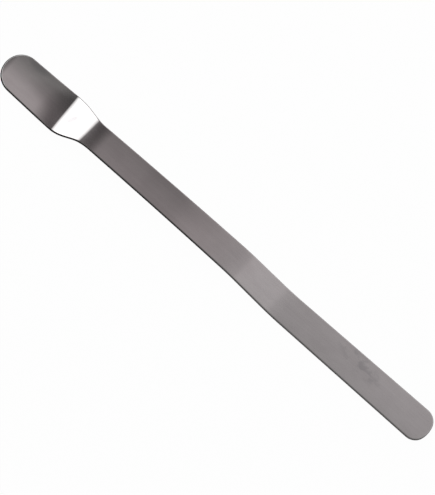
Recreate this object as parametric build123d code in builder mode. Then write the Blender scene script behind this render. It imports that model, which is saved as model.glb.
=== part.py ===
from build123d import *
import os
from math import asin, atan2, cos, degrees, hypot, radians, sin, tan

# Double-ended lab spatula, blanked from one strip of stainless sheet and pressed to shape.
# A wide dished head and a narrow flat blade lie on the table, and a raised handle bridges them.
# Millimetres. +X runs from the head to the blade, +Z is up, z = 0 is the table under both ends.

# Driving sizes of the sheet
overall_length = 150.0   # head tip to blade tip, seen from above
thickness = 1.0          # gauge of the sheet
edge_round = 0.3         # tumbled radius left on the blanked rim

# Driving sizes of the blank's outline, as full widths
head_tip_width = 11.65   # where the head's rounded end begins
head_width = 12.65       # at the shoulders, the widest place
neck_width = 8.05        # the narrowest place, just behind the crank
blade_width = 9.85       # where the blade's rounded end begins
head_length = 22.7       # head tip to the shoulders
flare_length = 6.8       # shoulders in to the neck

# Driving sizes of the side profile, with its slopes in degrees
floor_length = 20.6      # the head's floor, from its tip to the crank
floor_radius = 320.0     # slow lengthwise curve of the floor, which lifts the tip a little
floor_slope = 1.3        # slope where the floor meets the crank
crank_slope = 22.0       # slope of the short ramp up to the handle
crank_radius = 8.0       # bends at the foot and the top of the ramp
crank_height = 2.7       # rise of the handle's highest point above the head's lowest
fade_radius = 125.0      # slow levelling out beyond the ramp
fade_slope = 3.0         # slope where the levelling out begins
handle_slope = 1.0       # slope where the handle's long bow begins
handle_length = 45.0     # bowed handle between the crank and the joggle
handle_radius = 1000.0   # of the bow
joggle_slope = 8.2       # steepest slope of the gentle step down to the blade
joggle_radius = 48.0     # bends at the top and the foot of that step
dish_radius = 60.0       # crosswise hollow pressed into the head

# Shares that shape the rounded corners
head_nose_share = 0.56      # radius of the head's nose, of the width at its tip
head_corner_share = 0.47    # radius of the head's corners, of the same width
blade_nose_share = 0.76     # radius of the blade's nose, of the blade's width
blade_corner_share = 0.4    # radius of the blade's corners, of the same width
shoulder_round_share = 0.4  # of the flare's edge that the shoulder's arc takes
neck_round_share = 0.3      # of the flare's edge that the neck's arc takes
rim_limit_share = 0.45      # most of the thickness that the rim's radius may take
overrun = 2.0               # how far the pressed strip stands past its outline before blanking

# Heights and runs worked out from the bends
sheet_level = thickness / 2
x_head_tip = -overall_length / 2
x_blade_tip = overall_length / 2
strip_reach = head_width / 2 + overrun
dish_lift = dish_radius - (dish_radius**2 - strip_reach**2) ** 0.5
floor_turn = degrees((floor_length + overrun) / floor_radius)
start_slope = floor_slope - floor_turn
bow_slope = degrees(handle_length / handle_radius) - handle_slope


def arc_rise(radius, angle_from, angle_to):
    """Height gained along an arc whose slope goes from one angle to another, in degrees."""
    return radius * (cos(radians(angle_from)) - cos(radians(angle_to)))


start_level = sheet_level + arc_rise(floor_radius, 0, start_slope)
crank_rise = (
    crank_height
    - arc_rise(floor_radius, 0, floor_slope)
    - arc_rise(fade_radius, handle_slope, fade_slope)
    - arc_rise(handle_radius, 0, handle_slope)
)
foot_tangent = crank_radius * tan(radians(crank_slope - floor_slope) / 2)
top_tangent = crank_radius * tan(radians(crank_slope - fade_slope) / 2)
incline_rise = (
    crank_rise
    - foot_tangent * sin(radians(floor_slope))
    - top_tangent * sin(radians(fade_slope))
)
incline_length = incline_rise / sin(radians(crank_slope))
ramp_length = incline_length - foot_tangent - top_tangent
side_slope = degrees(asin((incline_rise - dish_lift) / incline_length))
step_drop = (
    crank_height
    - arc_rise(handle_radius, 0, bow_slope)
    - arc_rise(joggle_radius, bow_slope, joggle_slope)
    - arc_rise(joggle_radius, 0, joggle_slope)
)
step_length = step_drop / sin(radians(joggle_slope))


def heading(angle):
    """Direction along the sheet, seen from the side, at this slope in degrees."""
    return Vector(cos(radians(angle)), sin(radians(angle)))


# Faces of the sheet, seen from the side: an upper one (side 1) and a lower one (side -1)
def head_line(side, slope):
    """Draws one face from before the head's tip to the top of the crank, whose ramp has this slope.

    The ramp turns about its upper end, so a lower slope lifts the whole floor of the head.
    """
    reach = side * sheet_level
    foot_reach = foot_tangent * (crank_radius - reach) / crank_radius
    top_reach = top_tangent * (crank_radius + reach) / crank_radius
    turn_shift = (foot_reach + ramp_length + top_reach) * (heading(crank_slope) - heading(slope))
    start = Vector(x_head_tip - overrun, start_level) + turn_shift
    start += reach * Vector(-heading(start_slope).Y, heading(start_slope).X)
    floor = JernArc(start, heading(start_slope), floor_radius - reach, floor_turn)
    foot_corner = floor @ 1 + foot_reach * heading(floor_slope)
    foot = Bezier(floor @ 1, foot_corner, foot_corner + foot_reach * heading(slope))
    ramp = PolarLine(foot @ 1, ramp_length, slope)
    top_corner = ramp @ 1 + top_reach * heading(slope)
    top = Bezier(ramp @ 1, top_corner, top_corner + top_reach * heading(fade_slope))
    return floor, top


def handle_line(side, top):
    """Draws one face from the top of the crank along the bowed handle and the joggle to the blade."""
    reach = side * sheet_level
    fade = JernArc(top @ 1, top % 1, fade_radius + reach, handle_slope - fade_slope)
    bow = JernArc(fade @ 1, fade % 1, handle_radius + reach, -bow_slope - handle_slope)
    fall = JernArc(bow @ 1, bow % 1, joggle_radius + reach, bow_slope - joggle_slope)
    step = PolarLine(fall @ 1, step_length, direction=fall % 1)
    rest = JernArc(step @ 1, step % 1, joggle_radius - reach, joggle_slope)
    return Line(rest @ 1, (x_blade_tip + overrun, sheet_level + reach))


def head_section(y, slope):
    """Lengthwise section of the head and the crank, y off the middle, and the last bend of each face."""
    with BuildSketch(Plane.XZ.offset(-y)) as section:
        with BuildLine():
            lower_floor, lower_top = head_line(-1, slope)
            upper_floor, upper_top = head_line(1, slope)
            Line(lower_floor @ 0, upper_floor @ 0)
            Line(lower_top @ 1, upper_top @ 1)
        make_face()
    return section.sketch, lower_top, upper_top


# The head across the strip: its two sides lie higher than its middle by the depth of the dish
near_section, _, _ = head_section(-strip_reach, side_slope)
middle_section, lower_top, upper_top = head_section(0, crank_slope)
far_section, _, _ = head_section(strip_reach, side_slope)

# The handle and the blade go on from the middle section and are flat across the strip
with BuildSketch(Plane.XZ) as handle_section:
    with BuildLine():
        lower_blade = handle_line(-1, lower_top)
        upper_blade = handle_line(1, upper_top)
        Line(lower_top @ 1, upper_top @ 1)
        Line(lower_blade @ 1, upper_blade @ 1)
    make_face()

# Outline of the blank from above: rounded head, shoulders, neck, slow taper out to the blade
x_shoulder = x_head_tip + head_length
x_neck = x_shoulder + flare_length


def nose_depth(radius, width):
    """How far a nose of this radius stands past the corners of an end of this width."""
    return radius - (radius**2 - (width / 2) ** 2) ** 0.5


head_nose_radius = head_nose_share * head_tip_width
blade_nose_radius = blade_nose_share * blade_width
x_head_corner = x_head_tip + nose_depth(head_nose_radius, head_tip_width)
x_blade_corner = x_blade_tip - nose_depth(blade_nose_radius, blade_width)
head_taper = atan2((head_width - head_tip_width) / 2, x_shoulder - x_head_corner)
flare_taper = atan2((head_width - neck_width) / 2, flare_length)
blade_taper = atan2((blade_width - neck_width) / 2, x_blade_corner - x_neck)
flare_edge = hypot(flare_length, (head_width - neck_width) / 2)
corner_radii = [
    head_corner_share * head_tip_width,
    shoulder_round_share * flare_edge / tan((head_taper + flare_taper) / 2),
    neck_round_share * flare_edge / tan((blade_taper + flare_taper) / 2),
    blade_corner_share * blade_width,
]

with BuildSketch() as outline:
    with BuildLine():
        far_side = Polyline(
            (x_head_corner, head_tip_width / 2),
            (x_shoulder, head_width / 2),
            (x_neck, neck_width / 2),
            (x_blade_corner, blade_width / 2),
        )
        mirror(far_side, about=Plane.XZ)
        RadiusArc(
            (x_head_corner, -head_tip_width / 2),
            (x_head_corner, head_tip_width / 2),
            head_nose_radius,
        )
        RadiusArc(
            (x_blade_corner, blade_width / 2),
            (x_blade_corner, -blade_width / 2),
            blade_nose_radius,
        )
    make_face()
    for place in reversed(range(len(corner_radii))):
        fillet(outline.vertices().group_by(Axis.X)[place], corner_radii[place])

# The strip, blanked to its outline and tumbled
rim_radius = min(edge_round, rim_limit_share * thickness)

with BuildPart() as spatula:
    loft(sections=[near_section, middle_section, far_section])
    extrude(handle_section.sketch, amount=strip_reach, both=True)
    extrude(outline.sketch, amount=crank_height + overrun, both=True, mode=Mode.INTERSECT)
    walls = spatula.faces().filter_by(lambda face: round(face.normal_at().Z) == 0)
    rim = walls.edges().filter_by(Axis.Z, reverse=True).sort_by(Axis.X, reverse=True)
    fillet(rim, rim_radius)
spatula.part.label = "spatula"

os.makedirs("parts", exist_ok=True)
export_step(spatula.part, "parts/spatula.step")
print("ramp", round(ramp_length, 2), "side slope", round(side_slope, 2), "step", round(step_length, 2))
print("volume", round(spatula.part.volume, 1), "size", spatula.part.bounding_box().size)
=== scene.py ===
# %% [markdown]
# # A double-ended lab spatula
# The spatula is one strip of stainless sheet: blanked to its outline, pressed to shape, brushed
# and tumbled. A wide hollow head and a narrow flat blade lie on the table, and a raised handle
# bridges them. There is nothing else on it, so the picture rests on three things: the sheet's
# slow bends, the thin rim round it, and what the satin steel mirrors. This lesson makes them in
# that order. The packed solid is loaded first, as the frame that the surface has to fit.

import bmesh
import bpy
import numpy as np
from mathutils import Matrix, Vector


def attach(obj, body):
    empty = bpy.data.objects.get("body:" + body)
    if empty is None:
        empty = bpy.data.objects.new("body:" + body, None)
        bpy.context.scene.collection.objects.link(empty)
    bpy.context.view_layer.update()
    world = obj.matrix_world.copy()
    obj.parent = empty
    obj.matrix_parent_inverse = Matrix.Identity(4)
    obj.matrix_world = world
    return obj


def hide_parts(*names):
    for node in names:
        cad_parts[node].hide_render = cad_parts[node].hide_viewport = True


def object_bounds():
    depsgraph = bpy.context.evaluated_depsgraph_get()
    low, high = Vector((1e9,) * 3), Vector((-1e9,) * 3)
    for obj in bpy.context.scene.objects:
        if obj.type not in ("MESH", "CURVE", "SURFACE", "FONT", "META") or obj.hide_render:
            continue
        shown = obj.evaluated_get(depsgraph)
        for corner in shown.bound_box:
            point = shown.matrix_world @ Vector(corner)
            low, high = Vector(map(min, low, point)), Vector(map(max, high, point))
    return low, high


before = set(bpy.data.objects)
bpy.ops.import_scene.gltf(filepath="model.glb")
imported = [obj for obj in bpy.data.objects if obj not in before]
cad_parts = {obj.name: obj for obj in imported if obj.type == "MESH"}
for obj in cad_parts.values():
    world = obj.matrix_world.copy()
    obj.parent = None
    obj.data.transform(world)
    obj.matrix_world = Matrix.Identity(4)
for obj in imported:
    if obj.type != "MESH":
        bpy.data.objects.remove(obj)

MM = 0.001   # metres in a millimetre
cad_box = [list(corner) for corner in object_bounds()]
x_head_tip = cad_box[0][0] / MM
x_blade_tip = cad_box[1][0] / MM
overall_length = x_blade_tip - x_head_tip
print("frame:", sorted(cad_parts), "length in mm:", round(overall_length, 2))

# %% [markdown]
# ## The side profile
# Seen from the side, the sheet is a chain of straight stretches and round bends. Such a line
# could be drawn as a curve with handles, but its slope is easier to control: along a straight
# stretch the slope stays, and through a round bend it changes evenly with the distance. So the
# slope is a polyline over the distance along the sheet, and adding up its cosine and sine gives
# the place of each point. The two straight ramps take whatever height the bends leave over.

# %% Sizes of the profile, in millimetres and degrees
thickness = 1.0         # gauge of the sheet
floor_length = 13.65    # slow upward curve of the head's floor towards its tip
floor_radius = 600.0    # of that curve
floor_slope = -1.05     # slope where it ends, still falling away from the tip
lead_radius = 170.0     # turn of the floor up to the crank
lead_slope = 1.3        # slope where the crank's foot begins
crank_radius = 8.0      # bends at the foot and the top of the ramp
crank_slope = 22.0      # of the ramp up to the handle
crank_height = 2.7      # rise from the head's lowest place to the handle's highest
fade_radius = 150.0     # slow levelling out behind the ramp
fade_slope = 3.0        # slope where the levelling out begins
handle_slope = 1.0      # slope where the handle's long bow begins
handle_length = 45.0    # of the bow
handle_radius = 1000.0  # of the bow
joggle_radius = 48.0    # bends at the top and the foot of the gentle step down to the blade
joggle_slope = 8.2      # steepest slope of that step

tip_slope = floor_slope - np.degrees(floor_length / floor_radius)
bow_slope = np.degrees(handle_length / handle_radius) - handle_slope
print("slope at the head's tip:", round(tip_slope, 2), "at the bow's end:", round(-bow_slope, 2))

# %% The bends, and the ramps between them


def bend_length(radius, slope_from, slope_to):
    """Length of a round bend: its radius times the angle that it turns through."""
    return radius * abs(np.radians(slope_to - slope_from))


def bend_rise(radius, slope_from, slope_to):
    """Height of a round bend: its radius times the difference of the cosines of its slopes."""
    return radius * abs(np.cos(np.radians(slope_from)) - np.cos(np.radians(slope_to)))


def ramp_length(height, slope, bends):
    """Length of a straight ramp that takes the height its neighbouring bends leave over."""
    return (height - sum(bend_rise(*bend) for bend in bends)) / np.sin(np.radians(slope))


lead = (lead_radius, floor_slope, lead_slope)
lead_up = (lead_radius, 0, lead_slope)   # the part of the lead that rises
foot = (crank_radius, lead_slope, crank_slope)
top = (crank_radius, crank_slope, fade_slope)
fade = (fade_radius, fade_slope, handle_slope)
bow_up = (handle_radius, handle_slope, 0)
bow_down = (handle_radius, 0, -bow_slope)
fall = (joggle_radius, -bow_slope, -joggle_slope)
rest = (joggle_radius, -joggle_slope, 0)
crank_ramp = ramp_length(crank_height, crank_slope, [lead_up, foot, top, fade, bow_up])
joggle_ramp = ramp_length(crank_height, joggle_slope, [bow_down, fall, rest])
print("ramp of the crank:", round(crank_ramp, 2), "ramp of the joggle:", round(joggle_ramp, 2))

# %% The sheet's two faces as heights over the table
line_samples = 6001
blade_reach = overall_length / 2   # flat stretch, long enough to pass the blade's tip


def sheet_line():
    """Middle line of the sheet from the side.

    The slope runs straight from knot to knot over the distance along the sheet. Each place is
    the sum of the steps before it, and a step's run and rise are the cosine and sine of its slope.
    """
    stretches = [
        (floor_length, floor_slope),
        (bend_length(*lead), lead_slope),
        (bend_length(*foot), crank_slope),
        (crank_ramp, crank_slope),
        (bend_length(*top), fade_slope),
        (bend_length(*fade), handle_slope),
        (handle_length, -bow_slope),
        (bend_length(*fall), -joggle_slope),
        (joggle_ramp, -joggle_slope),
        (bend_length(*rest), 0),
        (blade_reach, 0),
    ]
    lengths, slopes = np.array(stretches).T
    knots = np.concatenate([[0], np.cumsum(lengths)])
    distance = np.linspace(0, knots[-1], line_samples)
    slope = np.radians(np.interp(distance, knots, np.concatenate([[tip_slope], slopes])))
    middle = (slope[1:] + slope[:-1]) / 2
    step = distance[1]
    x = x_head_tip + np.concatenate([[0], np.cumsum(np.cos(middle)) * step])
    z = np.concatenate([[0], np.cumsum(np.sin(middle)) * step])
    z += thickness / 2 - z.min()
    return x, z, slope


line_x, line_z, line_slope = sheet_line()


def face_height(x, side):
    """Height of the upper (side 1) or lower (side -1) face: the middle line moved half a
    thickness along its own normal, read off at x."""
    reach = side * thickness / 2
    return np.interp(x, line_x - reach * np.sin(line_slope), line_z + reach * np.cos(line_slope))


print("top of the handle, mm:", round(float(face_height(line_x, 1).max()), 2),
      "CAD:", round(cad_box[1][2] / MM, 2))

# %% [markdown]
# ## The blank's outline
# From above, the blank is a chain of arcs and straight edges that run into each other without a
# corner. An arc needs a centre, a radius and the directions in which its outward normal points
# at both ends, and the straight edges are what lies between two arcs. This keeps the exact
# normal at every point, which the rim needs later. The neck is hollow, so its arc counts as one
# of negative radius.

# %% Sizes of the outline, in millimetres
head_tip_width = 11.65      # where the head's rounded end begins
head_width = 12.65          # at the shoulders
neck_width = 8.05           # just behind the crank
blade_width = 9.85          # where the blade's rounded end begins
head_length = 22.7          # head tip to the shoulders
flare_length = 6.8          # shoulders in to the neck
head_nose_share = 0.56      # radius of the head's nose, of the width at its tip
head_corner_share = 0.47    # radius of the head's corners, of the same width
blade_nose_share = 0.76     # radius of the blade's nose, of the blade's width
blade_corner_share = 0.4    # radius of the blade's corners, of the same width
shoulder_round_share = 0.4  # of the flare's edge that the shoulder's arc takes
neck_round_share = 0.3      # of the flare's edge that the neck's arc takes

head_nose_radius = head_nose_share * head_tip_width
head_corner_radius = head_corner_share * head_tip_width
blade_nose_radius = blade_nose_share * blade_width
blade_corner_radius = blade_corner_share * blade_width


def nose_depth(radius, width):
    """How far a round nose stands past the corners of an end of this width: the radius less the
    other leg of the triangle that the radius makes with half the width."""
    return radius - np.sqrt(radius**2 - (width / 2) ** 2)


corners = np.array([
    (x_head_tip + nose_depth(head_nose_radius, head_tip_width), head_tip_width / 2),
    (x_head_tip + head_length, head_width / 2),
    (x_head_tip + head_length + flare_length, neck_width / 2),
    (x_blade_tip - nose_depth(blade_nose_radius, blade_width), blade_width / 2),
])
head_point, shoulder_point, neck_point, blade_point = corners
HEAD_EDGE, FLARE_EDGE, TAPER_EDGE = range(3)   # the straight edges between those four corners
edges = np.diff(corners, axis=0)
edge_normals = np.stack([-edges[:, 1], edges[:, 0]], axis=1)
edge_normals /= np.linalg.norm(edge_normals, axis=1, keepdims=True)
normal_angles = np.arctan2(edge_normals[:, 1], edge_normals[:, 0])
flare_edge = np.linalg.norm(edges[FLARE_EDGE])
print("edge directions in degrees:", np.degrees(normal_angles).round(2))

# %% One side of the outline as arcs


def nose_corner(nose_x, nose_radius, corner, normal, radius):
    """Centre of the round that joins a nose to a straight edge: one radius inside the edge, and
    at the difference of the two radii from the nose's centre."""
    start = corner - radius * normal - np.array([nose_x, 0])
    along = np.array([normal[1], -normal[0]])
    reach = nose_radius - radius
    half = start @ along
    shift = np.sqrt(half**2 - start @ start + reach**2) * np.sign(corner[0] - nose_x)
    return start + (shift - half) * along + np.array([nose_x, 0])


def edge_round(corner, first, second, share):
    """Centre and signed radius of the round between two straight edges, which takes this share of
    the flare's edge: the share's length over the tangent of half the turn."""
    turn = normal_angles[first] - normal_angles[second]
    radius = share * flare_edge / np.tan(turn / 2)
    middle = (edge_normals[first] + edge_normals[second]) / 2
    return corner - radius * middle / (middle @ middle), radius


head_nose_x = x_head_tip + head_nose_radius
blade_nose_x = x_blade_tip - blade_nose_radius
head_corner = nose_corner(
    head_nose_x, head_nose_radius, head_point, edge_normals[HEAD_EDGE], head_corner_radius)
blade_corner = nose_corner(
    blade_nose_x, blade_nose_radius, blade_point, edge_normals[TAPER_EDGE], blade_corner_radius)
shoulder, shoulder_radius = edge_round(shoulder_point, HEAD_EDGE, FLARE_EDGE, shoulder_round_share)
neck, neck_radius = edge_round(neck_point, FLARE_EDGE, TAPER_EDGE, neck_round_share)
head_turn = np.arctan2(head_corner[1], head_corner[0] - head_nose_x)
blade_turn = np.arctan2(blade_corner[1], blade_corner[0] - blade_nose_x)
head_angle, flare_angle, taper_angle = normal_angles
arcs = [
    ((head_nose_x, 0), head_nose_radius, np.pi, head_turn),
    (head_corner, head_corner_radius, head_turn, head_angle),
    (shoulder, shoulder_radius, head_angle, flare_angle),
    (neck, neck_radius, flare_angle, taper_angle),
    (blade_corner, blade_corner_radius, taper_angle, blade_turn),
    ((blade_nose_x, 0), blade_nose_radius, blade_turn, 0),
]
print("radii of the outline's arcs:", [round(float(arc[1]), 2) for arc in arcs])

# %% Points and normals along that side
outline_step = 0.16                # largest distance between neighbouring points
touching_gap = outline_step / 100  # arcs closer than this touch, with no straight edge between


def outline_side():
    """Points and outward normals of the far side, from the head's tip to the blade's.

    An arc's point is its centre plus its radius times the normal, with the normal's angle running
    evenly from one end to the other. A straight edge runs evenly from the last point of one arc to
    the first of the next and keeps the normal. Where two arcs touch, the shared point is kept once.
    """
    points, normals = [], []
    for centre, radius, start, end in arcs:
        count = int(np.ceil(abs(radius * (end - start)) / outline_step)) + 1
        angle = np.linspace(start, end, count)
        normals.append(np.stack([np.cos(angle), np.sin(angle)], axis=1))
        points.append(np.array(centre) + radius * normals[-1])
    chain, chain_normals = [points[0]], [normals[0]]
    for before, after, normal, after_normal in zip(points, points[1:], normals, normals[1:]):
        gap = np.linalg.norm(after[0] - before[-1])
        share = np.linspace(0, 1, int(np.ceil(gap / outline_step)) + 1)[1:-1, None]
        first = 1 if gap < touching_gap else 0
        chain += [before[-1] + share * (after[0] - before[-1]), after[first:]]
        chain_normals += [np.tile(normal[-1], (len(share), 1)), after_normal[first:]]
    return np.concatenate(chain), np.concatenate(chain_normals)


side_points, side_normals = outline_side()
print("points on one side:", len(side_points), "widest, mm:", round(2 * side_points[:, 1].max(), 2),
      "CAD:", round((cad_box[1][1] - cad_box[0][1]) / MM, 2))

# %% [markdown]
# ## The pressed surface
# The CAD solid could be shown as it is, but its loose triangles are long and thin, and a mirror
# shows every one of them. Here the skin is one closed section carried from the head's tip to the
# blade's: across the upper face, round the far rim, back along the lower face and round the near
# rim. At each place along the outline the section shrinks to the outline's width, and a rim
# point steps inwards along the outline's normal, so the rim keeps its radius round both noses.
# The head's hollow is a slow arc across the strip. It runs out through the crank into a much
# flatter hollow of the handle, which ends before the blade. A press never bends quite square, so
# the creases at the crank's foot and top lie slightly askew.

# %% The closed section
rim_radius = 0.3   # tumbled edge
cross_count = 21   # points across a face
rim_count = 6      # points round a quarter circle of the rim, with the one on the face


def strip_section():
    """Closed section in four parts, as arrays with one entry per point.

    share: place across the strip, from -1 at the near side to 1 at the far side;
    inset: distance inwards from the outline;
    depth: share of the thickness below the upper face;
    edge: 0 on the two faces, 1 on the blanked wall.
    A rim is a quarter circle: its inset is the radius times 1 - sin, its depth times 1 - cos.
    """
    across = -np.cos(np.linspace(0, np.pi, cross_count))
    angle = np.linspace(0, np.pi / 2, rim_count)[1:]
    arc_inset = rim_radius * (1 - np.sin(angle))
    arc_depth = rim_radius * (1 - np.cos(angle)) / thickness
    arc_edge = np.sin(angle)
    down_inset = np.concatenate([arc_inset, [0], arc_inset[::-1]])
    down_depth = np.concatenate([arc_depth, [1 / 2], 1 - arc_depth[::-1]])
    down_edge = np.concatenate([arc_edge, [1], arc_edge[::-1]])
    flat, rim = np.ones(cross_count), np.ones(len(down_inset))
    share = np.concatenate([across, rim, across[::-1], -rim])
    inset = np.concatenate([rim_radius * flat, down_inset, rim_radius * flat, down_inset[::-1]])
    depth = np.concatenate([0 * flat, down_depth, flat, down_depth[::-1]])
    edge = np.concatenate([0 * flat, down_edge, 0 * flat, down_edge[::-1]])
    return share, inset, depth, edge


print("points of the section:", len(strip_section()[0]))

# %% The hollow across the strip, in millimetres from the head's tip
head_hollow_radius = 60.0     # crosswise, in the head
head_hollow_length = 20.5     # where the head's hollow begins to run out
head_fade_length = 9.0        # over which it does so
handle_hollow_radius = 170.0  # crosswise, in the handle
handle_hollow_length = 55.0   # where the handle's hollow begins to run out
handle_fade_length = 35.0     # over which it does so


def smooth(value):
    """Eased step: three squares minus two cubes of the value, held between 0 and 1."""
    value = np.clip(value, 0, 1)
    return value * value * (3 - 2 * value)


def hollow(x, y):
    """Height of the crosswise hollow: half the square of y over the hollow's radius.

    One over the radius eases from the head's value to the handle's through the crank, and to
    nothing before the blade.
    """
    along = x - x_head_tip
    head_share = 1 - smooth((along - head_hollow_length) / head_fade_length)
    handle_share = 1 - smooth((along - handle_hollow_length) / handle_fade_length)
    curvature = handle_share / handle_hollow_radius
    curvature += head_share * (1 / head_hollow_radius - 1 / handle_hollow_radius)
    return curvature * y**2 / 2


print("rise of the head's sides, mm:", round(float(hollow(x_head_tip, head_width / 2)), 2))

# %% The surface that the section sweeps
foot_place = 22.0   # crease at the crank's foot, from the head's tip
foot_skew = -0.025  # how far it moves along the strip per millimetre across
top_place = 27.5    # crease at the crank's top, from the head's tip
top_skew = 0.06     # how far it moves along the strip per millimetre across
top_shift = 0.13    # how far the whole of it is moved along


def strip_surface():
    """Grid of points: one row per outline point, one column per point of the section.

    The plan position is the outline point moved inwards along its normal, with its y scaled by the
    place across. The height runs from the upper to the lower face by the section's depth, and the
    hollow is added. Both faces are read off at x less a shift, which is the foot's skew times y up
    to the crank's foot, and eases to the top's skew times y plus the top's own shift, which it
    keeps from there to the blade.
    """
    share, inset, depth, edge = strip_section()
    x = side_points[:, :1] - inset * side_normals[:, :1]
    y = share * (side_points[:, 1:] - inset * side_normals[:, 1:])
    turn = smooth((x - x_head_tip - foot_place) / (top_place - foot_place))
    shift = foot_skew * y + turn * (top_shift + (top_skew - foot_skew) * y)
    upper, lower = face_height(x - shift, 1), face_height(x - shift, -1)
    z = upper + (lower - upper) * depth + hollow(x, y)
    return np.stack([x, y, z], axis=-1), np.broadcast_to(edge, x.shape)


grid, grid_rim = strip_surface()
print("grid:", grid.shape, "height in mm:", grid[..., 2].min().round(3), grid[..., 2].max().round(3))

# %% Put the grid into a mesh
merge_distance = 1e-8  # in metres, joins the points that fall together at both ends of the grid
sliver_length = 1e-9   # in metres, shorter edges are dissolved


def grid_faces(rows, columns):
    """Quads between neighbouring rows and columns; the last column joins the first."""
    index = np.arange(rows * columns).reshape(rows, columns)
    ahead = np.roll(index, -1, axis=1)
    quads = np.stack([index[:-1], index[1:], ahead[1:], ahead[:-1]], axis=-1)
    return quads.reshape(-1, 4)


skin = bpy.data.meshes.new("spatula_skin")
skin.from_pydata((grid * MM).reshape(-1, 3), [], grid_faces(*grid.shape[:2]))
rim_layer = skin.attributes.new("rim", "FLOAT", "POINT")
rim_layer.data.foreach_set("value", grid_rim.astype(np.float32).ravel())
skin.update()

joined = bmesh.new()
joined.from_mesh(skin)
bmesh.ops.remove_doubles(joined, verts=joined.verts, dist=merge_distance)
bmesh.ops.dissolve_degenerate(joined, edges=joined.edges, dist=sliver_length)
bmesh.ops.recalc_face_normals(joined, faces=joined.faces)
open_edges = sum(not edge.is_manifold for edge in joined.edges)
volume = joined.calc_volume() / MM**3
joined.to_mesh(skin)
joined.free()
skin.shade_smooth()

spatula = bpy.data.objects.new("spatula_strip", skin)
bpy.context.collection.objects.link(spatula)
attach(spatula, "root")
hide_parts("spatula")
print("faces:", len(skin.polygons), "open edges:", open_edges, "volume in mm3:", round(volume, 1))

# %% [markdown]
# ## Writing shader maths
# A finish mixes many small patterns, and adding their nodes one by one hides the formula. One
# small class wraps a node's output so that sums and products in Python add the Math nodes. Every
# other node comes from its one method, which sets the settings first, because some of them
# change which sockets a node has.

# %% A socket that can be calculated with
COLOUR_A, COLOUR_B, COLOUR_OUT = 6, 7, 2   # a Mix node's sockets for colours


class Signal:
    """An output socket of a node tree, with the operators that the finishes use."""

    def __init__(self, tree, socket=None):
        self.tree = tree
        self.socket = socket

    def node(self, kind, settings=None, sockets=None, output=0):
        """Adds a node, gives it its settings, then its sockets' values or links."""
        made = self.tree.nodes.new(kind)
        for name, value in (settings or {}).items():
            if name == "stops":
                ramp = made.color_ramp.elements
                for place, _ in value[len(ramp):]:
                    ramp.new(place)
                for element, (place, colour) in zip(ramp, value):
                    element.position = place
                    element.color = colour
            else:
                setattr(made, name, value)
        for name, value in (sockets or {}).items():
            if isinstance(value, Signal):
                self.tree.links.new(value.socket, made.inputs[name])
            else:
                made.inputs[name].default_value = value
        return Signal(self.tree, made.outputs[output] if made.outputs else None)

    def maths(self, operation, first, second=0.0):
        """Adds a Math node for one or two values."""
        return self.node("ShaderNodeMath", {"operation": operation}, {0: first, 1: second})

    def __add__(self, other):
        return self.maths("ADD", self, other)

    def __sub__(self, other):
        return self.maths("SUBTRACT", self, other)

    def __rsub__(self, other):
        return self.maths("SUBTRACT", other, self)

    def __mul__(self, other):
        return self.maths("MULTIPLY", self, other)

    def __abs__(self):
        return self.maths("ABSOLUTE", self)

    __radd__ = __add__
    __rmul__ = __mul__

    def eased(self, start, end):
        """Eased step from 0 at the start to 1 at the end."""
        limits = {"Value": self, "From Min": start, "From Max": end}
        return self.node("ShaderNodeMapRange", {"interpolation_type": "SMOOTHSTEP"}, limits)

    def blend(self, way, share, first, second):
        """The first colour where the share is 0, and where it is 1 both colours blended this way."""
        settings = {"data_type": "RGBA", "blend_type": way}
        sockets = {0: share, COLOUR_A: first, COLOUR_B: second}
        return self.node("ShaderNodeMix", settings, sockets, output=COLOUR_OUT)

    def mixed(self, first, second):
        """The first colour where this value is 0 and the second where it is 1."""
        return self.blend("MIX", self, first, second)


def new_material(name):
    """An empty material and a signal to build its nodes from."""
    material = bpy.data.materials.new(name)
    material.use_nodes = True
    material.node_tree.nodes.clear()
    return material, Signal(material.node_tree)


def plan_places(nodes):
    """Object coordinates, and their x and y alone, in millimetres."""
    place = nodes.node("ShaderNodeTexCoord", output="Object")
    x = nodes.node("ShaderNodeSeparateXYZ", None, {0: place}, output="X") * (1 / MM)
    y = nodes.node("ShaderNodeSeparateXYZ", None, {0: place}, output="Y") * (1 / MM)
    return place, x, y


print("signal operators:", [name for name in vars(Signal) if name.startswith("__")])

# %% [markdown]
# ## Brush lines and smudges
# The sheet has a satin face. A brush drawn along the strip leaves fine lines and broader streaks,
# and handling leaves cloudy smudges. A picture of steel could be wrapped round the strip, but it
# would have to be laid out on the mesh first. Noise on object coordinates needs no layout: drawn
# out along the strip it gives the lines and streaks, and nearly round it gives the clouds.

# %% Noise in three forms
steel, steel_nodes = new_material("satin_steel")
place, x_place, y_place = plan_places(steel_nodes)


def stretched_noise(scale_along, scale_across, detail, roughness=0.5):
    """Noise on object coordinates, with its own scale (per metre) along and across the strip."""
    stretch = steel_nodes.node("ShaderNodeMapping", None, {
        "Vector": place, "Scale": (scale_along, scale_across, scale_across)})
    return steel_nodes.node("ShaderNodeTexNoise", None, {
        "Vector": stretch, "Scale": 1.0, "Detail": detail, "Roughness": roughness})


brush = stretched_noise(scale_along=25, scale_across=2600, detail=3)
streaks = stretched_noise(scale_along=18, scale_across=620, detail=2)
clouds = stretched_noise(scale_along=130, scale_across=210, detail=3, roughness=0.6)

cloud_share, streak_share, brush_share = 0.55, 0.25, 0.2
tone_limits = (0.36, 0.64)   # of their sum, from the darkest smudge to clean steel
tone = (cloud_share * clouds + streak_share * streaks + brush_share * brush).eased(*tone_limits)
print("nodes of the noise:", len(steel.node_tree.nodes))

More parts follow.
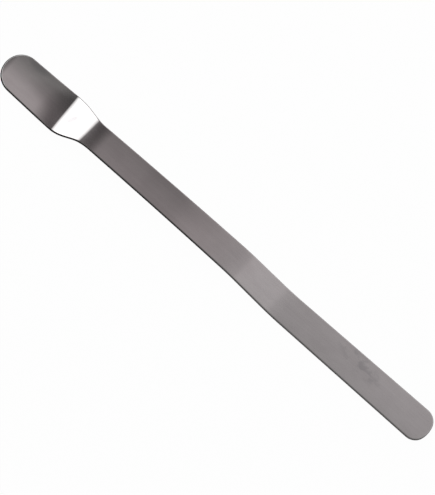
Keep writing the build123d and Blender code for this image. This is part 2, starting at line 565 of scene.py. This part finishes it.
# %% [markdown]
# ## Colours, painted light and painted shade along the strip
# The steel isn't one grey. The head is painted lighter, as painted light, but for its very tip,
# which is painted shade, and for a tongue that reaches in from the crank without the painted light,
# and the blade is more neutral than the warm handle. Two soft stains lie on the ramp and on the
# blade, and a patch of painted shade lies by the head's far edge. They could be painted on an image,
# but eased steps along the strip and soft ovals are enough for them, and each keeps a place and a size
# that can be read and changed.

# %% Base colour with painted light and shade, with places in millimetres from the head's tip
steel_colour = (0.622, 0.574, 0.571, 1)
# painted light: the head is coloured lighter, standing in for the brighter light that its face mirrors
painted_head_light = (0.856, 0.81, 0.798, 1)
blade_colour = (0.616, 0.597, 0.592, 1)
# painted shade: the head's very tip is coloured darker, standing in for the dark that its rim mirrors
tip_shade_tint = (0.55, 0.55, 0.55, 1)
smudge_tint = (0.915, 0.91, 0.912, 1)
tip_shade_end = (0.3, 2.0)        # where the painted shade at the tip fades out
head_light_fade = (7.0, 16.0)     # where the head's painted light turns into the handle's colour, in the tongue
blade_start = (65.0, 95.0)  # where the handle's colour turns into the blade's
tongue_middle = 1.0         # place of the tongue across the strip
tongue_half_width = 5.0
tongue_length = 5.0         # how far the tongue reaches past the steel on both its sides
far_margin = (3.0, 5.5)     # across the strip, where the far edge keeps the painted light for longer
far_length = 3.0            # how much longer


def from_tip(start, end, x=x_place):
    """Eased step along the strip between two distances from the head's tip, in millimetres."""
    return x.eased(x_head_tip + start, x_head_tip + end)


tongue = tongue_length * abs(y_place - tongue_middle).eased(0, tongue_half_width)
set_back = tongue + far_length * y_place.eased(*far_margin)
blade = from_tip(*blade_start)
# painted light on the head, fading out along the strip, and sooner in the tongue
plain = from_tip(*head_light_fade, x=x_place - set_back)
clean = plain.mixed(painted_head_light, blade.mixed(steel_colour, blade_colour))
# painted shade darkens the head's tip
tip_shaded = steel_nodes.blend("MULTIPLY", 1 - from_tip(*tip_shade_end), clean, tip_shade_tint)
smudged = steel_nodes.blend("MULTIPLY", 1 - tone, tip_shaded, smudge_tint)
print("nodes with the base colour:", len(steel.node_tree.nodes))

# %% Two soft stains and a patch of painted shade, with places in millimetres from the head's tip
# tint of the stains and of the painted shade by the head's far edge
stain_and_shade_tint = (0.78, 0.79, 0.8, 1)
blot_limits = (0.42, 0.62)   # of the noise that breaks up the blade's stain


def smear(strength, along, across, length, width, slant):
    """Soft oval patch of this strength in its middle, eased to 0 where the squares of the two
    shares, the distance along over the length and across over the width, add up to 1. The slant
    moves it along for each millimetre across."""
    off_side = y_place - across
    length_share = (x_place - (x_head_tip + along) - slant * off_side) * (1 / length)
    width_share = off_side * (1 / width)
    return strength * (1 - (length_share * length_share + width_share * width_share).eased(0, 1))


blots = stretched_noise(scale_along=420, scale_across=520, detail=2).eased(*blot_limits)
# painted shade, not a stain: a darker patch by the head's far edge
head_shade_patch = smear(strength=0.9, along=7.7, across=5.4, length=4.5, width=2.2, slant=0)
ramp_stain = smear(strength=1.0, along=23.55, across=-0.2, length=1.1, width=2.6, slant=0.35)
blade_stain = smear(strength=0.75, along=124.0, across=2.0, length=9, width=3.6, slant=-1.2)
# the stains on the ramp and the blade, and the painted shade by the head's far edge
stains_and_shade = head_shade_patch + ramp_stain + blade_stain * blots
face_colour = steel_nodes.blend("MULTIPLY", stains_and_shade, smudged, stain_and_shade_tint)
print("nodes with the stains:", len(steel.node_tree.nodes))

# %% [markdown]
# ## The blanked wall, its painted shade and the finished steel
# The wall where the sheet was cut is coloured much darker than the faces: this is painted shade,
# standing in for the dark that the real edge mirrors. The wall could have a material of its own
# on its own faces, but then its border would be as sharp as the mesh's edges. The rim attribute
# rises smoothly from the faces round the tumbled edge, so it mixes two shaders instead. This also
# lets the painted dark line be wider round the head's nose and beside the ramp, where the face near the
# edge would mirror white. At the blade the painted wall shade is paler.
# The faces are smooth and take their gloss from the smudges and the brush lines, and the joggle is a
# little duller.

# %% Where the wall and its painted dark line show, with places in millimetres from the head's tip
wall_limits = (0.3, 0.65)     # of the rim attribute, from face to wall
nose_shade_end = (2.5, 6.0)         # where the wider painted dark line round the nose fades out
ramp_shade_start = (19.5, 21.0)     # where the wider painted dark line beside the ramp fades in
ramp_shade_end = (28.0, 29.5)       # where it fades out
# painted shade: these widen the dark wall line onto the face round the nose and beside the ramp
nose_shade_widening, ramp_shade_widening = 0.28, 0.2

edge = steel_nodes.node("ShaderNodeAttribute", {"attribute_name": "rim"}, output="Fac")
nose_shade_share = 1 - from_tip(*nose_shade_end)
ramp = from_tip(*ramp_shade_start) - from_tip(*ramp_shade_end)
# share of the wall, widened by painted shade round the nose and beside the ramp
wall_and_shade_share = (edge + ramp_shade_widening * ramp + nose_shade_widening * nose_shade_share).eased(*wall_limits)
print("nodes with the wall's share:", len(steel.node_tree.nodes))

# %% Gloss, relief and the two shaders
# painted shade: the wall's dark colour stands in for the dark that the real edge mirrors, paler at the
# blade
wall_shade_colour = (0.034, 0.032, 0.031, 1)
blade_wall_shade_colour = (0.16, 0.153, 0.15, 1)
wall_roughness, wall_specular = 0.6, 0.05
face_roughness, cloud_roughness, brush_roughness, joggle_roughness = 0.045, 0.03, 0.015, 0.07
joggle_start = (72.0, 80.0)   # millimetres from the head's tip
joggle_end = (97.0, 105.0)
brush_relief = 0.3            # height of the brush lines, of the streaks'
relief_strength = 0.01
relief_depth = 0.0001         # metres

joggle = from_tip(*joggle_start) - from_tip(*joggle_end)
handling = cloud_roughness * clouds + brush_roughness * brush
gloss = face_roughness + handling + joggle_roughness * joggle
bump = steel_nodes.node("ShaderNodeBump", None, {
    "Strength": relief_strength, "Distance": relief_depth, "Height": brush_relief * brush + streaks})
face = steel_nodes.node("ShaderNodeBsdfPrincipled", None, {
    "Base Color": face_colour, "Roughness": gloss, "Metallic": 1.0, "Normal": bump})
wall = steel_nodes.node("ShaderNodeBsdfPrincipled", None, {
    "Base Color": blade.mixed(wall_shade_colour, blade_wall_shade_colour), "Roughness": wall_roughness,
    "Metallic": 0.0, "Specular IOR Level": wall_specular})
shader = steel_nodes.node("ShaderNodeMixShader", None, {0: wall_and_shade_share, 1: face, 2: wall})
steel_nodes.node("ShaderNodeOutputMaterial", None, {"Surface": shader})
skin.materials.append(steel)
print("nodes of the finished steel:", len(steel.node_tree.nodes))

# %% [markdown]
# ## The floor
# The strip lies on a white ground. A floor that is only lit comes out grey, and more light would
# also brighten the steel. So the rays that show a background, from the camera, a mirror or glass,
# see almost only a plain white glow, and all other light meets a diffuse white, which also keeps
# the strip's soft shadow.

# %% A white floor that keeps a soft shadow
floor_half, floor_gap = 3.0, 0.00005   # metres; the gap keeps the floor clear of the strip
floor_colour = (0.9, 0.9, 0.9, 1)
white = (1, 1, 1, 1)
floor_glow = 0.975                     # share of the glow for the rays that show a background
FACING_UP, FACING_DOWN = (0, 1, 2, 3), (0, 3, 2, 1)


def level_sheet(name, half_side, height, facing):
    """Square in metres: the four corners of a unit square times half its side, at one height."""
    square = np.array([(-1, -1, 0), (1, -1, 0), (1, 1, 0), (-1, 1, 0)], float)
    mesh = bpy.data.meshes.new(name + "_sheet")
    mesh.from_pydata(square * half_side + np.array([0, 0, height]), [], [facing])
    sheet = bpy.data.objects.new(name, mesh)
    bpy.context.collection.objects.link(sheet)
    return sheet


def seen_share(nodes, share):
    """This share for rays that show a background: from the camera, a mirror or glass."""
    kinds = ("Is Camera Ray", "Is Glossy Ray", "Is Transmission Ray")
    camera_ray, glossy_ray, glass_ray = [nodes.node("ShaderNodeLightPath", output=kind) for kind in kinds]
    return nodes.maths("MINIMUM", camera_ray + glossy_ray + glass_ray, 1.0) * share


floor = level_sheet("floor", floor_half, -floor_gap, FACING_UP)
paper, paper_nodes = new_material("white_floor")
lit = paper_nodes.node("ShaderNodeBsdfDiffuse", None, {"Color": floor_colour})
glowing = paper_nodes.node("ShaderNodeEmission", None, {"Color": white, "Strength": 1.0})
shown = paper_nodes.node("ShaderNodeMixShader", None, {
    0: seen_share(paper_nodes, floor_glow), 1: lit, 2: glowing})
paper_nodes.node("ShaderNodeOutputMaterial", None, {"Surface": shown})
floor.data.materials.append(paper)
print("floor side in m:", 2 * floor_half)

# %% [markdown]
# ## The scrim
# Satin steel shows little of its own: it shows the room, softly. A world picture could give that
# room, but it is the same from every place, and the handle and the blade, which are equally
# level, differ in brightness. So a wide scrim hangs close above the strip and glows unevenly, as
# a lit diffuser does. Its grey changes along the strip: dark where the head's floor turns up to
# the crank, and slowly brighter towards the blade. Across the strip its lines of equal grey are
# bowed and one side is lit more, which is what makes the hollow head darker along its far half.
# A white patch beyond the head's end is what the ramp mirrors as a white band. The scrim is wide
# enough for low views from other sides to mirror its grey as well.

# %% The hanging sheet
scrim_height, scrim_half = 0.35, 3.0   # metres
scrim = level_sheet("scrim", scrim_half, scrim_height, FACING_DOWN)
scrim.visible_camera = False
scrim.visible_shadow = False
print("scrim height in m:", scrim_height, "side in m:", 2 * scrim_half)

# %% Levels along the scrim, as places in millimetres and strengths
scrim_peak = 1.9                       # strength that the ramps' full white stands for
scrim_from, scrim_to = -700.0, 200.0   # stretch that the ramps cover
grey_levels = [
    (-700, 0.42), (-480, 0.3), (-90, 0.14), (-84, 0.125), (-79, 0.108), (-75, 0.116), (-72, 0.142),
    (-69, 0.18), (-66, 0.222), (-63, 0.268), (-60, 0.312), (-57, 0.305), (-53, 0.302), (-46, 0.312),
    (-39, 0.303), (-28, 0.28), (-16, 0.283), (-10, 0.3), (-4, 0.36), (4, 0.4), (12, 0.415),
    (22, 0.44), (50, 0.452), (62, 0.455), (67, 0.49), (71, 0.495), (77, 0.468), (83, 0.468),
    (90, 0.485), (98, 0.57), (112, 0.605), (122, 0.575),
]
white_levels = [
    (-600, 0.0), (-450, 1.88), (-195, 1.88), (-160, 1.72), (-130, 1.3), (-110, 0.88), (-100, 0.52),
    (-92, 0.16), (-88, 0.0),
]
grey_hue, white_hue = np.ones(3), np.array([0.94, 1.0, 1.0])

glow, glow_nodes = new_material("scrim_glow")
_, x_scrim, y_scrim = plan_places(glow_nodes)


def scrim_ramp(levels, x, hue):
    """Colour along x: the hue times the level, straight between the given places."""
    length = scrim_to - scrim_from
    stops = [((spot - scrim_from) / length, (*(level / scrim_peak * hue), 1)) for spot, level in levels]
    return glow_nodes.node("ShaderNodeValToRGB", {"stops": stops}, {0: (x - scrim_from) * (1 / length)})


print("places with a level:", len(grey_levels), "grey and", len(white_levels), "white")

# %% Levels across the scrim, with places in millimetres
mirror_middle = 140.0            # y that the strip's middle line mirrors
grey_bow = 0.00103               # bend of the lines of equal grey, per millimetre
grey_skew = -0.045               # their lean, along the strip per millimetre across
white_skew = 0.08                # lean of the white patch's edge
white_start = (-100.0, 0.0)      # the white patch's near side
white_end = (450.0, 600.0)       # its far side
far_lit_start = (80.0, 185.0)    # where the scrim's dark stretch turns into its lit far side
near_lit_end = (-500.0, -200.0)  # where its less lit near side turns into the dark stretch
near_lit_share = 0.6             # how much of the far side's light the near side has
dark_tint = (0.606, 0.606, 0.606, 1)
lit_tint = (1.28, 1.21, 1.24, 1)

off_middle = y_scrim - mirror_middle
bow = grey_bow * off_middle * off_middle + grey_skew * off_middle
lit_side = y_scrim.eased(*far_lit_start) + near_lit_share * (1 - y_scrim.eased(*near_lit_end))
white_side = y_scrim.eased(*white_start) - y_scrim.eased(*white_end)
plain_grey = scrim_ramp(grey_levels, x_scrim + bow, grey_hue)
tinted_grey = glow_nodes.blend("MULTIPLY", 1.0, plain_grey, lit_side.mixed(dark_tint, lit_tint))
white_patch = scrim_ramp(white_levels, x_scrim + white_skew * off_middle, white_hue)
lamp = glow_nodes.blend("ADD", white_side, tinted_grey, white_patch)
lamp_shader = glow_nodes.node("ShaderNodeEmission", None, {"Color": lamp, "Strength": scrim_peak})
glow_nodes.node("ShaderNodeOutputMaterial", None, {"Surface": lamp_shader})
scrim.data.materials.append(glow)
print("nodes of the scrim:", len(glow.node_tree.nodes))

# %% [markdown]
# ## The room
# Beyond the floor and the scrim lies only a plain room. It could be left black, but then low views
# would end in a dark band. It is dim for the light that it gives, so that the scrim stays the main
# lamp, and white for the rays that show a background.

# %% A dim white world
room_light, room_white = 0.4, 1.0
world = bpy.data.worlds.new("studio")
world.use_nodes = True
world.node_tree.nodes.clear()
room_nodes = Signal(world.node_tree)
dim = room_nodes.node("ShaderNodeBackground", None, {"Color": white, "Strength": room_light})
bright = room_nodes.node("ShaderNodeBackground", None, {"Color": white, "Strength": room_white})
room = room_nodes.node("ShaderNodeMixShader", None, {0: seen_share(room_nodes, 1.0), 1: dim, 2: bright})
room_nodes.node("ShaderNodeOutputWorld", None, {"Surface": room})
bpy.context.scene.world = world
bpy.context.scene.view_settings.view_transform = "Standard"
print("world nodes:", len(world.node_tree.nodes))

# %% [markdown]
# ## Camera
# The picture looks down steeply on the strip, square to its length, and is then turned so that
# the strip runs from the upper left to the lower right. The camera could be turned by three
# angles, but three directions say it more plainly: towards the camera, to its right, and up. A
# long lens from well back keeps both ends at one scale.

# %% Place the camera
camera_elevation, camera_turn = np.radians(68.1), np.radians(41.26)
camera_distance = 2.0    # metres
view_height_mm = 131.96  # height of the picture at the strip
sensor_height_mm = 24.0
aim_right_mm, aim_up_mm, aim_level_mm = 0.187, 0.107, 0.5

towards = Vector((0, -np.cos(camera_elevation), np.sin(camera_elevation)))
level_right = Vector((1, 0, 0))
level_up = towards.cross(level_right)
right = level_right * np.cos(camera_turn) + level_up * np.sin(camera_turn)
up = level_up * np.cos(camera_turn) - level_right * np.sin(camera_turn)
aim = Vector((0, 0, aim_level_mm * MM)) + (right * aim_right_mm + up * aim_up_mm) * MM

lens = bpy.data.cameras.new("camera")
lens.sensor_fit = "VERTICAL"
lens.sensor_height = sensor_height_mm
lens.lens = camera_distance / (view_height_mm * MM) * sensor_height_mm
camera = bpy.data.objects.new("camera", lens)
camera.matrix_world = Matrix.Translation(aim + towards * camera_distance) @ Matrix(
    (right, up, towards)).transposed().to_4x4()
bpy.context.collection.objects.link(camera)
bpy.context.scene.camera = camera
print("focal length in mm:", round(lens.lens, 1))
